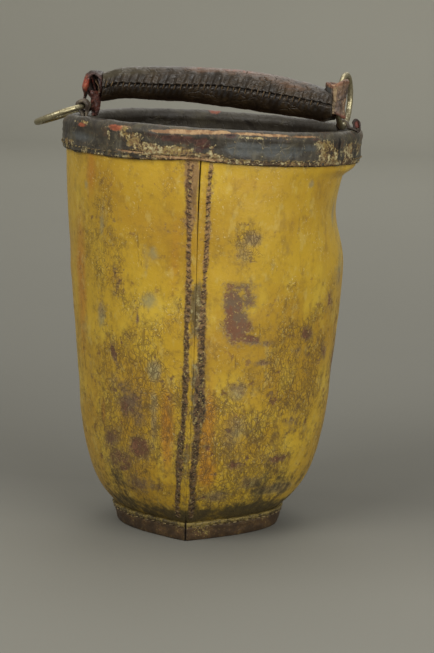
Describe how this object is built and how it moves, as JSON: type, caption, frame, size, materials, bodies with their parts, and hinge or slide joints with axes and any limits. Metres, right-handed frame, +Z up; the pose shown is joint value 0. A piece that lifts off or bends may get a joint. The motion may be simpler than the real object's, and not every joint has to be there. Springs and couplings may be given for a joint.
{
  "type": "fire bucket",
  "caption": "Tall leather fire bucket with a painted body, a sewn front seam, a rolled rim, a narrow banded foot and a stuffed leather bail hung from metal rings.",
  "frame": {"origin": "on the floor, at the middle of the foot", "axes": "+Z up; +X along the bail from its end with the lying ring to its end with the upright ring, in the mouth; +Y to the back, away from the seam"},
  "size_m": [0.2474, 0.2207, 0.3381],
  "materials": {
    "painted_leather": "old cracked mustard-yellow paint, half gloss",
    "raw_leather": "bare, dark and dry",
    "foot_leather": "worn brown",
    "rim_leather": "slate-grey paint with chips",
    "tab_leather": "worn grey-brown",
    "eye_leather": "red-brown, polished by use",
    "handle_leather": "dark and greasy, polished by hands",
    "ring_metal": "tarnished",
    "hoop_iron": "rough",
    "dark_thread": "waxed",
    "waxed_thread": "waxed",
    "stuffing": "fibrous"
  },
  "bodies": {
    "bucket": {"body_panel": "painted_leather", "seam_strip": "raw_leather", "seam_stitches_left": "dark_thread", "seam_stitches_right": "dark_thread", "bottom_disc": "raw_leather", "foot_band": "foot_leather", "foot_stitches": "waxed_thread", "rim_hoop": "hoop_iron", "rim_band": "rim_leather", "rim_stitches": "waxed_thread", "left_tab": "tab_leather", "right_tab": "tab_leather", "tab_stitches": "waxed_thread"},
    "handle": {"handle_core": "stuffing", "handle_cover": "handle_leather", "handle_stitches": "dark_thread", "left_eye": "eye_leather", "right_eye": "tab_leather"},
    "right_ring": {"right_ring": "ring_metal"},
    "left_ring": {"left_ring": "ring_metal"}
  },
  "joints": [
    {"name": "handle_swing", "type": "hinge", "parent": "bucket", "child": "handle", "pos_m": [0.00837, 0.00235, 0.30305], "axis": [0.9986, -0.0007, -0.0534], "range_deg": [-30, 18]},
    {"name": "right_ring_slide", "type": "hinge", "parent": "handle", "child": "right_ring", "pos_m": [0.1053, 0.00319, 0.31646], "axis": [0.9993, 0, -0.0384], "continuous": true},
    {"name": "left_ring_lift", "type": "hinge", "parent": "bucket", "child": "left_ring", "pos_m": [-0.08786, 0.00242, 0.30819], "axis": [-0.0019, 0.9988, -0.0488], "range_deg": [0, 55]}
  ]
}
